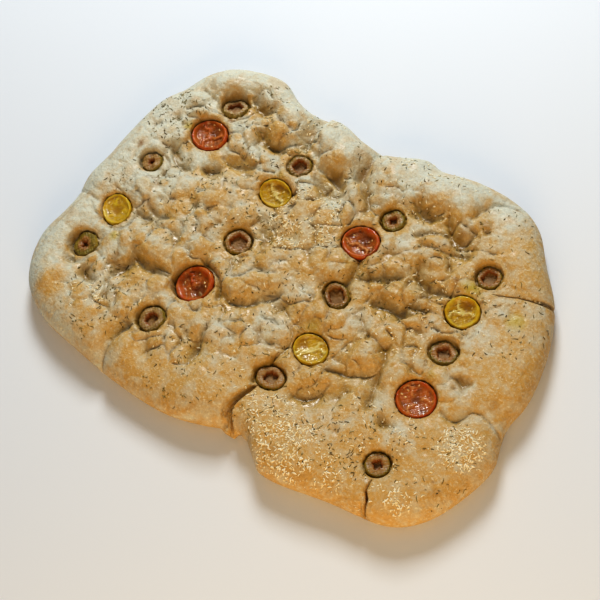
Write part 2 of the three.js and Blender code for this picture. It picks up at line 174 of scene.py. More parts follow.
def open_mesh(piece):
    """Edit mode, with the whole mesh selected."""
    activate(piece)
    bpy.ops.object.mode_set(mode="EDIT")
    bpy.ops.mesh.select_all(action="SELECT")


def close_mesh():
    bpy.ops.object.mode_set(mode="OBJECT")


def copy_of_node(node, name):
    """A node's shape as a new object, with its loose triangles merged into one skin."""
    piece = bpy.data.objects.new(name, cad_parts[node].data.copy())
    bpy.context.scene.collection.objects.link(piece)
    open_mesh(piece)
    bpy.ops.mesh.remove_doubles(threshold=merge_gap)
    close_mesh()
    return piece


def soften(piece, name, rounds, strength=0.5, group=""):
    """A smoothing modifier, applied later with the piece's others."""
    smoothing = piece.modifiers.new(name, "SMOOTH")
    smoothing.factor = strength
    smoothing.iterations = rounds
    smoothing.vertex_group = group


def apply_modifiers(piece):
    activate(piece)
    for modifier in list(piece.modifiers):
        bpy.ops.object.modifier_apply(modifier=modifier.name)


def make_fine(piece, voxel, rounds):
    """Gives the piece a fine, even mesh with soft corners."""
    piece.data.remesh_voxel_size = voxel
    activate(piece)
    bpy.ops.object.voxel_remesh()
    soften(piece, "soften", rounds)
    apply_modifiers(piece)


loaf = copy_of_node("bread", "focaccia_loaf")
fillings = []
for topping in toppings:
    filling = copy_of_node(topping, "seat_filling")
    low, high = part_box(topping)
    open_mesh(filling)
    bpy.ops.mesh.convex_hull()
    bpy.ops.mesh.select_all(action="SELECT")
    bpy.ops.transform.resize(value=(seat_widening, seat_widening, 1.0), center_override=(low + high) / 2)
    bpy.ops.transform.translate(value=(0, 0, -seat_depth[topping.split("_")[0]]))
    close_mesh()
    fillings.append(filling)
for size, middle in crack_fillings:
    bpy.ops.object.select_all(action="DESELECT")
    bpy.ops.mesh.primitive_cube_add(size=1)
    crack_filling = bpy.context.object
    open_mesh(crack_filling)
    bpy.ops.transform.resize(value=[side * mm for side in size])
    bpy.ops.transform.translate(value=loaf_shift + Vector(middle) * mm)
    close_mesh()
    fillings.append(crack_filling)
activate(loaf)
for filling in fillings:
    filling.select_set(True)
bpy.ops.object.join()
make_fine(loaf, loaf_voxel, loaf_soft_rounds)

# The loaf's creases: where the dough folded or tore under its skin, one side steep and the other a long
# slope. Each is a line, the reach of its left and right side along the line, and its depth.
crease_sharpness = 1.6
side_height = 6
side_fade = 7
loaf_creases = [
    ([(-58, -22), (-50, -24), (-43, -27), (-37, -33), (-34, -40)], 2.5, 3, 5.5),
    ([(14, -65), (16, -69), (17, -73)], 2.5, 2, 4.5),
    ([(-50, 108), (-50, 96), (-50.5, 90), (-49, 84), (-47, 80)], 2.5, 11, 4.5),
    ([(-72, 67), (-62, 71), (-55, 75), (-49, 80)], 9, 3, 3.5),
    ([(-46, 80), (-38, 78), (-34, 73), (-31, 70)], 3, 3, 1.8),
    ([(-30, 70), (-24, 69.5), (-18, 68), (-14, 66)], 10, 3, 4.5),
    ([(-26, 61), (-18, 58), (-12, 58), (-7, 61)], 8, 3, 3.0),
    ([(-4, 104), (-5.5, 95), (-6, 90), (-5, 84), (-4, 79)], 2.5, 11, 4.5),
    ([(-4, 79), (0, 78), (4, 74), (8, 69), (12, 64), (14, 57)], 2.5, 6, 2.8),
    ([(12, 65), (18, 68), (22, 66)], 4, 3, 2.0),
    ([(36, 82), (42, 77), (48, 75), (53, 77), (58, 80)], 11, 3, 3.4),
    ([(60, 83), (66, 76), (70, 72), (76, 70), (80, 72), (82, 78)], 9, 3, 5.0),
    ([(98, 110), (88, 108), (81, 105), (79, 100), (76, 92), (75, 88)], 1.8, 3, 2.0),
    ([(80, 88), (83, 84), (89, 84)], 5, 3, 1.8),
    ([(50, 60), (55, 66), (62, 69.5), (68, 71)], 4, 3, 2.8),
    ([(58, 57), (67, 60), (75, 61), (80, 63), (86, 64)], 5, 3, 3.0),
    ([(74, 61), (77, 57), (79, 53)], 3, 4, 2.2),
    ([(63, 43), (66, 37), (70, 35), (77, 33), (83, 35), (90, 37)], 10, 3, 5.0),
    ([(36, 18), (44, 21), (51, 24), (58, 31)], 8, 3, 3.6),
    ([(53, 7), (58, 9), (64, 10), (70, 9.5), (75, 11), (79, 16), (84, 19)], 10, 3, 4.5),
    ([(72, 18), (75, 25), (80, 31), (86, 35)], 3, 2.5, 2.6),
    ([(84, 21), (92, 22), (100, 21), (108, 22), (112, 19), (113, 12), (112, 6)], 3, 3, 1.8),
    ([(28, 30), (30, 22), (31, 14), (30, 10)], 4, 4, 3.2),
    ([(131, 16), (138, 18), (143, 18), (150, 15.5), (157, 16)], 1.3, 1.3, 0.9),
    ([(141, 10), (146, 6), (153, 3)], 1.3, 1.3, 0.8),
    ([(-2, -20), (-8, -27), (-16, -35), (-25, -38), (-33, -37)], 3, 9, 3.2),
    ([(8, -24), (14, -28), (20, -29), (27, -30)], 1.5, 1.8, 1.8),
    ([(19, -8), (19.3, -18), (19, -27)], 1.4, 1.6, 1.4),
    ([(20, -33), (23, -38), (23, -44), (18, -48), (11, -48)], 2.2, 5, 2.4),
    ([(-27, -60), (-26, -68), (-24, -74), (-23, -82)], 2, 9, 3.4),
    ([(-39, -69), (-34, -72), (-27, -71)], 4, 2, 1.8),
    ([(-59, -83), (-55, -89), (-50, -95)], 3, 6, 2.2),
    ([(46, -68), (53, -66), (57, -60), (60, -52)], 6, 3, 2.6),
    ([(58, -11), (68, -12), (77, -14), (81, -21), (80, -29), (75, -35), (66, -40), (54, -44)], 3, 5, 2.8),
    ([(82, -28), (84, -38), (86, -45), (89, -51)], 3, 6, 3.2),
    ([(93, -3), (94, -12), (98, -18)], 2, 3, 1.8),
    ([(107, -8), (107, -17)], 3, 2, 1.8),
    ([(126, -30), (133, -33), (138, -31), (141, -26), (143, -21), (148, -19.5), (157, -21), (168, -26)],
     3, 1.6, 2.2),
    ([(-172, -22), (-155, -22), (-147, -23)], 1.5, 2, 1.6),
    ([(-157, -23), (-159, -40), (-160, -60), (-158, -78)], 1.2, 1.6, 0.9),
    ([(-99, -43), (-88, -47), (-80, -45), (-68, -43)], 7, 3, 3.6),
    ([(-98, -48), (-102, -57), (-104, -66), (-99, -75)], 3, 7, 3.0),
    ([(-69, -78), (-72, -84), (-74, -90), (-76, -98), (-76, -106), (-73, -116)], 2.2, 8, 3.2),
    ([(-136, 82), (-128, 80), (-121, 79), (-117, 76)], 2, 2.5, 1.6),
    ([(-146, 82), (-150, 76), (-148, 69)], 3, 2, 1.2),
    ([(-128, 36), (-121, 28), (-116, 25), (-108, 25)], 8, 3, 4.0),
    ([(-98, 31), (-93, 31), (-89, 35)], 6, 3, 2.4),
    ([(-100, 93), (-95, 89), (-88, 87), (-84, 89)], 8, 3, 4.0),
    ([(-82, 92), (-76, 87), (-68, 88)], 7, 4, 2.2),
    ([(-82, 73), (-74, 69), (-66, 67), (-60, 69)], 8, 3, 3.6),
    ([(-90, 44), (-82, 43), (-75, 45), (-69, 48)], 8, 3, 3.2),
    ([(-122, -18), (-113, -18), (-106, -17)], 5, 2, 2.4),
    ([(-93, 8), (-84, 5), (-76, 8)], 7, 4, 2.0),
    ([(-112, -10), (-104, -13), (-96, -10)], 7, 4, 2.2),
    ([(-86, -20), (-78, -24), (-70, -22)], 7, 4, 2.0),
    ([(-30, 20), (-24, 16), (-17, 18)], 6, 4, 1.8),
    ([(-38, 14), (-34, 11), (-30, 12)], 6, 3, 2.4),
    ([(-8, 18), (-3, 14), (4, 16)], 5, 4, 1.6),
    ([(-30, -8), (-22, -12), (-12, -8)], 5, 4, 1.8),
    ([(-122, -70), (-116, -73), (-110, -70)], 7, 4, 2.4),
    ([(-140, -66), (-134, -68), (-127, -63)], 6, 4, 2.4),
    ([(-58, -55), (-48, -57), (-40, -54)], 5, 4, 1.8),
    ([(124, -8), (129, -10), (133, -7)], 5, 3, 2.2),
    ([(98, -52), (102, -56), (107, -54)], 6, 4, 2.4),
]


def points_of(piece):
    """The mesh's points as an array, in millimetres."""
    flat = np.empty(len(piece.data.vertices) * 3, np.float32)
    piece.data.vertices.foreach_get("co", flat)
    return flat.reshape(-1, 3).astype(float) / mm


def set_points(piece, points):
    piece.data.vertices.foreach_set("co", (points * mm).astype(np.float32).ravel())
    piece.data.update()


def seen_from_above(points):
    """The points' X and Y, counted from the middle that every place in this file is counted from."""
    return points[:, 0] - loaf_shift.x / mm, points[:, 1] - loaf_shift.y / mm


def rising(value, start, length):
    """0 up to the start, then growing to 1 over the length."""
    return np.clip((value - start) / length, 0, 1)


def falling(value, end, length):
    """1 until one length before the end, then shrinking to 0."""
    return np.clip((end - value) / length, 0, 1)


def crease_profile(x, y, line, left, right):
    """1 on the line, falling to 0 at each side's reach."""
    best = np.zeros_like(x)
    for (ax, ay), (bx, by) in zip(line[:-1], line[1:]):
        dx, dy = bx - ax, by - ay
        along = np.clip(((x - ax) * dx + (y - ay) * dy) / (dx * dx + dy * dy), 0, 1)
        ox, oy = x - ax - along * dx, y - ay - along * dy
        on_left = dx * oy - dy * ox > 0
        far = np.hypot(ox, oy) / np.where(on_left, left, right)
        best = np.maximum(best, np.clip(1 - far, 0, 1) ** crease_sharpness)
    return best


loaf_points = points_of(loaf)
loaf_x, loaf_y = seen_from_above(loaf_points)
top_share = rising(loaf_points[:, 2], side_height, side_fade)
crease_depth = np.zeros(len(loaf_points))
for line, left, right, depth in loaf_creases:
    crease_depth += (depth * crease_profile(loaf_x, loaf_y, line, left, right)) ** 3
crease_depth = np.cbrt(crease_depth)
loaf_points[:, 2] -= crease_depth * top_share
set_points(loaf, loaf_points)

# The loaf's knobs and seats: the dough between the finger presses rose in small uneven humps, least near the
# rim. Some furrows are deep, and most are hardly there. Each slice pressed its seat, which baked around it.
knob_spacing = 15.0
knob_row_spacing = knob_spacing * 0.87
knob_shift = 0.36
knob_rise = 2.0
furrow_depth = 4.2
faintest_furrow = 0.12
slab_lift = 0.22 * furrow_depth
pit_count = 70
pit_reach = (2.5, 5.0)
pit_depth = (0.6, 1.9)
pit_margin = 14
# Where the rim, the right end and the front change: from which distance, over how much of it, and how calm.
calm_rim = (8, 20)
calm_right, right_calm = (114, 20), 0.72
calm_front, front_calm = (84, 16), 0.75
most_calm = 0.85
# Each smooth place is its middle, its reach and how smooth it is.
smooth_places = [
    (98, -64, 36, 1.0), (142, -60, 30, 1.0), (-5, -88, 34, 0.8), (34, -84, 26, 0.9), (-130, -92, 30, 0.6),
    (152, 20, 24, 0.8), (132, -90, 30, 0.8), (112, 92, 24, 0.8), (20, 98, 18, 0.7), (-75, 106, 20, 0.6),
    (70, -92, 30, 0.9),
]
rng = np.random.default_rng(12)
# Round each slice, as distances from its skin: the dough stands up to just under its brim and leans in on it.
seat_search = 22
seat_margin = 2.5
seat_soft_rounds = 14
lip_below = 1.5
brim_drop = {"tomato": 1.2, "olive": 1.1}
lip_start, lip_end = (-1.8, 0.9), (2.2, 1.2)
lean_start, lean_end = (-0.4, 0.6), (2.8, 1.8)
# The greatest rise and fall of the knobs, and the height that the furrows leave over the underside.
rise_range = 4
sink_range = 6
furrow_floor = 8
furrow_share = 0.6
wrinkle_height = 1.9
grain_height = 1.1
least_weight = 0.003
top_gap = 0.1


def reach_by_turn(turn, distance, steps):
    """The greatest distance in each step of a full turn, and each point's step."""
    step = ((turn + math.pi) / (2 * math.pi) * steps).astype(int) % steps
    reach = np.zeros(steps)
    np.maximum.at(reach, step, distance)
    return reach, step


def edge_distance(x, y):
    """Distance in from the loaf's edge, from its outermost points in each direction."""
    reach, step = reach_by_turn(np.arctan2(y, x), np.hypot(x, y), 720)
    return reach[step] - np.hypot(x, y)


def soft_spots(x, y, spots):
    """Round soft patches, each a place, a reach and an amount, added up."""
    total = np.zeros_like(x)
    for spot_x, spot_y, reach, amount in spots:
        far = np.hypot(x - spot_x, y - spot_y) / (reach * 1.25)
        total += amount * np.clip(1 - far * far, 0, 1) ** 1.5
    return total


def knob_field(x, y):
    """How far the surface stands above or below the loaf's plain slab."""
    columns = np.arange(-180, 181, knob_spacing)
    rows = np.arange(-130, 131, knob_row_spacing)
    centres = np.array([
        (column + (knob_spacing / 2 if number % 2 else 0), row)
        for number, row in enumerate(rows) for column in columns
    ])
    centres += rng.uniform(-knob_shift, knob_shift, centres.shape) * knob_spacing
    heights = rng.uniform(-1, 1, len(centres))
    pairing = rng.uniform(0, 1, (len(centres), 2))[:, 0]
    warped_x = x + 2.2 * np.sin(y / 5.3 + 1.1) + 1.3 * np.sin(x / 3.1 + y / 4.7)
    warped_y = y + 2.2 * np.sin(x / 5.9 + 0.4) + 1.3 * np.sin(y / 3.3 - x / 4.1)
    field = np.zeros_like(x)
    at_once = 8192
    for start in range(0, len(x), at_once):
        part = slice(start, start + at_once)
        far = np.hypot(
            warped_x[part, None] - centres[None, :, 0], warped_y[part, None] - centres[None, :, 1])
        order = np.argpartition(far, 2, axis=1)[:, :2]
        near = np.take_along_axis(far, order, 1)
        swap = near[:, 0] > near[:, 1]
        order[swap] = order[swap][:, ::-1]
        near[swap] = near[swap][:, ::-1]
        ratio = near[:, 0] / near[:, 1]
        furrow = np.abs(pairing[order[:, 0]] + pairing[order[:, 1]] - 1.0)
        furrow = faintest_furrow + (1 - faintest_furrow) * furrow
        knob = heights[order[:, 0]] * knob_rise * (1 - ratio ** 2)
        field[part] = knob - furrow_depth * furrow * ratio ** 4 + slab_lift
    return field


def slice_frame(points):
    """The middle of a slice, two directions along its cut face, and the way that face looks."""
    centre = (points.min(axis=0) + points.max(axis=0)) / 2
    middle = points.mean(axis=0)
    _, axes = np.linalg.eigh(np.cov((points - middle).T))
    normal = axes[:, 0] * (1 if axes[2, 0] > 0 else -1)
    side = np.cross((0.0, 1.0, 0.0), normal)
    side /= np.linalg.norm(side)
    return (centre + middle) / 2, side, np.cross(normal, side), normal


def slice_coordinates(points, others=None):
    """Each point's radius, turn and height on its slice, and how far out the skin is at that turn."""
    centre, side, other, normal = slice_frame(points)
    away = points - centre
    steps = 60
    u, v = away @ side, away @ other
    reach, _ = reach_by_turn(np.arctan2(v, u), np.hypot(u, v), steps)
    if others is not None:
        reach = np.maximum(reach, np.maximum(np.roll(reach, 1), np.roll(reach, -1)))
        away = others - centre
    u, v, height = away @ side, away @ other, away @ normal
    radius, turn = np.hypot(u, v), np.arctan2(v, u)
    reach = (np.roll(reach, 1) + reach + np.roll(reach, -1)) / 3
    place = (turn + math.pi) / (2 * math.pi) * steps - 0.5
    first = np.floor(place).astype(int)
    part = place - first
    return radius, turn, height, reach[first % steps] * (1 - part) + reach[(first + 1) % steps] * part


def paint(piece, name, weights):
    """A vertex group that holds these weights, and leaves out the points that have none."""
    group = piece.vertex_groups.new(name=name)
    for number in np.flatnonzero(weights > least_weight).tolist():
        group.add([number], float(weights[number]), "REPLACE")


def clouds(name, size, detail):
    texture = bpy.data.textures.new(name, "CLOUDS")
    texture.noise_scale = size * mm
    texture.noise_depth = detail
    return texture


def displace(piece, name, height, group, texture=None):
    """Raises the group's points straight up, or with a texture half up and half down."""
    lift = piece.modifiers.new(name, "DISPLACE")
    lift.direction = "Z"
    lift.strength = height * mm
    lift.mid_level = 0.5 if texture else 0.0
    lift.vertex_group = group
    if texture:
        lift.texture = texture
        lift.texture_coords = "LOCAL"


inset = edge_distance(loaf_x, loaf_y)
knobbly = rising(inset, *calm_rim) * (1 - right_calm * rising(loaf_x, *calm_right))
knobbly *= (1 - front_calm * rising(-loaf_y, *calm_front)) * top_share
knobbly *= 1 - np.clip(soft_spots(loaf_x, loaf_y, smooth_places), 0, most_calm)
relief = knob_field(loaf_x, loaf_y) * knobbly
for pit_x, pit_y in rng.uniform((-160, -105), (160, 105), (pit_count, 2)):
    far = np.hypot(loaf_x - pit_x, loaf_y - pit_y) / rng.uniform(*pit_reach)
    bowl = np.clip(1 - far * far, 0, 1) ** 2
    relief -= rng.uniform(*pit_depth) * bowl * top_share * rising(inset, 0, pit_margin)
under_slice = np.zeros(len(loaf_x))
seat_edge = np.zeros(len(loaf_x))
for topping in toppings:
    slice_points = points_of(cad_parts[topping])
    slice_middle = slice_points.mean(axis=0)
    near = np.flatnonzero(np.hypot(*(loaf_points[:, :2] - slice_middle[:2]).T) < seat_search)
    radius, _, height, skin_reach = slice_coordinates(slice_points, loaf_points[near])
    outside = radius - skin_reach
    under_slice[near] = np.maximum(under_slice[near], falling(outside, seat_margin, seat_margin))
    thickness = slice_points @ slice_frame(slice_points)[3]
    brim = (thickness.max() - thickness.min()) / 2 - brim_drop[topping.split("_")[0]]
    standing_up = rising(outside, *lip_start) * falling(outside, *lip_end) * (height > -brim - lip_below)
    loaf_points[near, 2] += np.clip(brim - height, 0, None) * standing_up
    inwards = slice_middle[:2] - loaf_points[near, :2]
    inwards /= np.linalg.norm(inwards, axis=1)[:, None]
    leaning = rising(outside, *lean_start) * falling(outside, *lean_end) * top_share[near]
    loaf_points[near, :2] += inwards * leaning[:, None]
    seat_edge[near] = np.maximum(seat_edge[near], np.clip(1.5 - np.abs(outside - 0.3) / 2.2, 0, 1))
set_points(loaf, loaf_points)
relief *= 1 - under_slice
deepest = np.clip(loaf_points[:, 2] - furrow_floor, 0, None) * furrow_share
relief = np.maximum(relief, -deepest)
paint(loaf, "risen", np.clip(relief / rise_range, 0, 1))
paint(loaf, "sunken", np.clip(-relief / sink_range, 0, 1))
paint(loaf, "lively", top_share * (0.35 + 0.65 * knobbly) * (1 - 0.8 * under_slice))
paint(loaf, "seat edges", seat_edge * top_share)
soften(loaf, "even seats", seat_soft_rounds, group="seat edges")
displace(loaf, "rise", rise_range, "risen")
displace(loaf, "sink", -sink_range, "sunken")
displace(loaf, "wrinkles", wrinkle_height, "lively", clouds("wrinkles", 6, 2))
displace(loaf, "grain", grain_height, "lively", clouds("grain", 2.6, 1))
soften(loaf, "blend", 1, 0.4)
apply_modifiers(loaf)
cad_top = cad_box[1][2] / mm
loaf_points = points_of(loaf)
loaf_points[:, 2] = np.clip(loaf_points[:, 2], 0, cad_top - top_gap)
set_points(loaf, loaf_points)

# The open cracks at the loaf's edge, where the skin burst as the dough rose. Each is a thin wavy wedge of
# air, cut out of the crust: its line, its width at each point of the line and the height of its floor.
blade_top = 34
blade_narrowing = 0.35
loaf_cracks = [
    ([(24, -112), (23.5, -107), (20.5, -103), (17.5, -98), (16.5, -93), (18, -87), (20.5, -80), (21.5, -73)],
     (9.0, 8.0, 6.6, 5.4, 4.8, 4.4, 3.6, 1.2), 6),
    ([(160, 67), (150, 63.5), (143, 60.5), (136, 58.5), (128, 56), (121, 53), (113, 50)],
     (3.2, 2.4, 1.9, 1.9, 1.6, 1.2, 0.5), 9),
    ([(125, -115), (122.5, -109), (120.5, -104.5), (119.5, -99), (116, -94.5), (115.5, -87)],
     (6.0, 4.8, 4.2, 3.4, 2.6, 0.8), 4),
    ([(20.5, -49), (20, -52), (20.5, -55), (19.5, -58), (20, -61)], (0.5, 1.3, 1.5, 1.2, 0.5), 13),
]


def crack_blade(line, widths, floor_height):
    """A closed wedge along a line: wide at the top, thin at its floor."""
    count = len(line)
    bpy.ops.object.select_all(action="DESELECT")
    bpy.ops.mesh.primitive_grid_add(x_subdivisions=count - 1, y_subdivisions=1, size=1)
    blade = bpy.context.object
    blade.name = "crack_blade"
    open_mesh(blade)
    bpy.ops.mesh.extrude_region_move(TRANSFORM_OT_translate={"value": (0, 0, 1)})
    close_mesh()
    for vertex in blade.data.vertices:
        place = round((vertex.co.x + 0.5) * (count - 1))
        before, after = Vector(line[max(place - 1, 0)]), Vector(line[min(place + 1, count - 1)])
        along = (after - before).normalized()
        upper = vertex.co.z > 0.5
        half = widths[place] / 2 * (1.0 if upper else blade_narrowing) * (1 if vertex.co.y > 0 else -1)
        height = blade_top if upper else floor_height
        spot = Vector((line[place][0] - along.y * half, line[place][1] + along.x * half, height))
        vertex.co = spot * mm + loaf_shift
    open_mesh(blade)
    bpy.ops.mesh.normals_make_consistent(inside=False)
    close_mesh()
    return blade


for line, widths, floor_height in loaf_cracks:
    blade = crack_blade(line, widths, floor_height)
    cut = loaf.modifiers.new("crack", "BOOLEAN")
    cut.operation = "DIFFERENCE"
    cut.solver = "MANIFOLD"
    cut.object = blade
    apply_modifiers(loaf)
    bpy.data.objects.remove(blade)

# The underside. The dough lay flat on the tray and baked as flat as it, so one face closes it from edge to
# edge. The whole mesh is then thinned a little, most where the crust is smooth.
loaf_mesh_share = 0.68
underside_height = 0.05
open_mesh(loaf)
bpy.ops.mesh.select_all(action="DESELECT")
close_mesh()
heights = points_of(loaf)[:, 2]
for face in loaf.data.polygons:
    face.select = bool((heights[list(face.vertices)] < underside_height).all())
bpy.ops.object.mode_set(mode="EDIT")
bpy.ops.mesh.delete(type="FACE")
bpy.ops.mesh.select_all(action="DESELECT")
bpy.ops.mesh.select_mode(type="EDGE")
bpy.ops.mesh.select_non_manifold()
bpy.ops.mesh.fill(use_beauty=False)
bpy.ops.mesh.select_all(action="SELECT")
bpy.ops.mesh.normals_make_consistent(inside=False)
bpy.ops.object.mode_set(mode="OBJECT")
thin_out = loaf.modifiers.new("thin out", "DECIMATE")
thin_out.ratio = loaf_mesh_share
apply_modifiers(loaf)
bpy.ops.object.shade_smooth()

# The crust's browning, with painted light and shade in it. Tops are pale and floury, and the pale
# patches are partly painted highlights. Slopes and furrows are golden, and the end towards the warm wall
# is painted golden as warm light. The deepest places are brown and hold oil; that brown, and the brown of
# furrows, creases and many small spots, is partly painted shade, and the crust under the slices is painted
# dark as shade. The foot of the side is the deep gold of dough that lay against hot oiled metal.
warm_light_gold, slope_gold, hollow_gold, foot_gold = 0.76, 0.5, 0.15, 0.95
slice_gold, crack_gold, knob_gold, flour_and_highlight_paleness = 0.45, 0.9, 0.4, 0.75
furrow_brown_and_shade, hollow_brown_and_shade, spot_brown, foot_brown = 0.5, 0.2, 0.8, 0.5
under_slice_shade, slice_brown, crack_brown, crease_shade_brown = 1.1, 0.18, 0.35, 0.2
pale_crust = (0.585, 0.55, 0.415)
golden_crust = (0.56, 0.315, 0.072)
brown_crust = (0.27, 0.12, 0.02)
flour_and_highlight_colour = (0.72, 0.69, 0.56)
light_grain = (0.72, 0.62, 0.38)
light_speck = (0.84, 0.74, 0.48)
dark_speck = (0.38, 0.20, 0.035)
juice_stain = (0.50, 0.36, 0.03)
oil_stain = (0.42, 0.30, 0.06)
# Each place is round and soft: its middle, its reach and its strength.
golden_places = [
    (-76, 85, 22, 0.5), (-90, 90, 8, 0.5), (-121, 93, 10, 0.45), (-78, 48, 14, 0.5), (-70, 73, 9, 0.5),
    (-65, 10, 12, 0.4), (-93, 8, 10, 0.45), (-105, -8, 12, 0.5), (-85, -38, 20, 0.55), (-92, -55, 14, 0.5),
    (-135, -84, 12, 0.5), (-137, -95, 10, 0.5), (-23, 44, 10, 0.55), (-25, 5, 14, 0.6), (-22, 78, 10, 0.5),
    (47, 28, 13, 0.8), (47, 86, 16, 0.55), (84, 88, 8, 0.7), (132, 67, 12, 0.7), (123, -63, 12, 0.4),
    (55, -103, 10, 0.6), (60, 40, 40, 0.3), (-20, 0, 60, 0.28), (40, -20, 50, 0.28), (-70, 20, 40, 0.2),
    (60, -90, 40, 0.25), (110, -95, 30, 0.45), (-60, -70, 50, 0.25), (100, 10, 40, 0.15),
    (112, 92, 26, 0.4), (155, 10, 26, 0.3), (-40, -105, 34, 0.25), (-76, 78, 12, 0.3),
]
# Many of the brown spots are painted shade in dimples, pits and holes; the rest are browning.
brown_and_shade_spots = [
    (84, 88, 5, 0.6), (-32, 8, 3, 0.8), (88, 47, 2.2, 0.9), (-30, 7, 2.5, 0.6),
    (-6, 84, 6, 0.5), (-19, 71, 6, 0.55), (48, 77, 6, 0.3), (75, 74, 8, 0.7), (78, -14, 6, 0.5),
    (78, 32, 8, 0.55), (-118, 31, 7, 0.45), (-95, 35, 5, 0.35), (-107, -52, 7, 0.6), (-117, -70, 6, 0.45),
    (-97, -75, 5, 0.45), (52, -65, 5, 0.5), (101, -54, 5, 0.4), (128, -8, 5, 0.6), (152, -11, 5, 0.4),
    (-92, 90, 5, 0.45), (55, -103, 5, 0.35), (132, 66, 6, 0.3), (-136, 72, 6, 0.2),
    (110, 42.5, 1.7, 1.2), (118, -50, 1.2, 1.2), (100, -72, 1.2, 1.2), (147, -70, 1.3, 1.0),
    (-146, 25.5, 2.6, 1.1), (-15, 67, 1.6, 1.1), (-28, 23.5, 1.5, 1.0), (93, 42, 1.6, 1.0),
    (-105, 71, 1.8, 1.1), (-90, 105, 1.3, 0.9), (140, -31, 2, 0.4), (84, -33, 2, 0.8), (150, -75, 4, 0.4),
    (137, -78, 4, 0.3), (122, -65, 4, 0.4),
]
juice_spots = [
    (135, 41, 7, 0.85), (-119, -39, 4, 0.9), (103, 45, 6, 0.9), (97, 48, 5, 0.7), (-128, 54, 4, 0.9),
    (30, -25, 6, 0.5), (-54, -22, 5, 0.35), (-50, 52, 5, 0.4), (22, 24, 4, 0.3), (110, -14, 4, 0.3),
]
# Pale patches: partly flour, partly painted highlights where the crust catches the window's light.
flour_and_highlight_places = [
    (-140, 20, 34, 0.7), (-125, 100, 20, 0.7), (-80, 106, 18, 0.6), (-25, 98, 16, 0.6), (35, 99, 22, 0.75),
    (8, -40, 14, 0.9), (-2, -20, 9, 0.6), (50, -8, 10, 0.7), (115, -57, 11, 0.9), (68, -78, 16, 0.6),
    (-105, -66, 9, 0.5), (-66, 4, 9, 0.5), (-10, 56, 9, 0.6), (122, 22, 14, 0.6), (93, 12, 9, 0.6),
    (50, 50, 9, 0.6), (-150, -50, 18, 0.5), (-24, -62, 10, 0.4), (96, 100, 16, 0.6), (60, 100, 12, 0.5),
    (-64, -55, 12, 0.4), (128, -12, 12, 0.6), (88, -40, 10, 0.5), (-78, 62, 10, 0.5), (12, -8, 9, 0.5),
    (-40, 60, 14, 0.5), (-12, -2, 10, 0.4), (-146, 60, 16, 0.6),
]
# The grid of heights that the browning is read from: its step, its first corner and its number of steps.
grid_step = 1.5
grid_low = np.array((-180.0, -130.0))
grid_shape = (241, 175)


def height_grid(points):
    """The loaf's top as a grid of heights."""
    grid = np.zeros(grid_shape)
    column = np.rint((points[:, 0] - grid_low[0]) / grid_step).astype(int)
    row = np.rint((points[:, 1] - grid_low[1]) / grid_step).astype(int)
    np.maximum.at(grid, (column, row), points[:, 2])
    return grid


def blurred(grid, reach):
    """The grid of heights, smoothed over this reach."""
    sigma = reach / grid_step
    span = np.arange(-int(3 * sigma) - 1, int(3 * sigma) + 2)
    kernel = np.exp(-0.5 * (span / sigma) ** 2)
    kernel /= kernel.sum()
    for axis in (0, 1):
        grid = np.apply_along_axis(lambda line: np.convolve(line, kernel, mode="same"), axis, grid)
    return grid


def sampled(grid, points):
    """The grid's value at each point, between the grid's own values."""
    column = np.clip((points[:, 0] - grid_low[0]) / grid_step, 0, grid_shape[0] - 1.001)
    row = np.clip((points[:, 1] - grid_low[1]) / grid_step, 0, grid_shape[1] - 1.001)
    i, j = column.astype(int), row.astype(int)
    u, v = column - i, row - j
    return (
        grid[i, j] * (1 - u) * (1 - v) + grid[i + 1, j] * u * (1 - v)
        + grid[i, j + 1] * (1 - u) * v + grid[i + 1, j + 1] * u * v
    )


def add_attribute(piece, name, values):
    attribute = piece.data.attributes.new(name, "FLOAT", "POINT")
    attribute.data.foreach_set("value", np.clip(values, 0, 1).astype(np.float32))


def slice_circle(node):
    """The middle and the radius of a slice, in metres."""
    low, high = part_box(node)
    return (low + high) / 2, max(high.x - low.x, high.y - low.y) / 2


loaf_points = points_of(loaf)
loaf_x, loaf_y = seen_from_above(loaf_points)
loaf_z = loaf_points[:, 2]
grid = height_grid(loaf_points)
small_rise = loaf_z - sampled(blurred(grid, 2.6), loaf_points)
large_rise = loaf_z - sampled(blurred(grid, 9.0), loaf_points)
slope_x, slope_y = np.gradient(blurred(grid, 1.5), grid_step)
slope = sampled(np.hypot(slope_x, slope_y), loaf_points)
on_top = rising(loaf_z, 9, 6)
centre_share = rising(edge_distance(loaf_x, loaf_y), 6, 26)
# Painted warm light: the crust is painted more golden towards the end that faces the warm wall.
warm_lit_end = np.clip(0.5 + loaf_x / 300 - loaf_y / 400, 0, 1)
golden = (
    warm_light_gold * warm_lit_end + slope_gold * np.clip(slope - 0.12, 0, 0.9) * on_top * centre_share
    + hollow_gold * np.clip(-large_rise / 2.5, -0.5, 1) * on_top
    + soft_spots(loaf_x, loaf_y, golden_places) + foot_gold * falling(loaf_z, 12, 9)
)
# Brown in furrows and hollows: partly oil browning, partly painted shade in the low places.
brown = (
    furrow_brown_and_shade * np.clip(-small_rise / 0.8 - 0.15, 0, 1) * on_top * centre_share
    + hollow_brown_and_shade * np.clip(-large_rise / 3.5 - 0.3, 0, 1) * on_top * centre_share
    + soft_spots(loaf_x, loaf_y, brown_and_shade_spots) * spot_brown + foot_brown * falling(loaf_z, 4, 4)
)
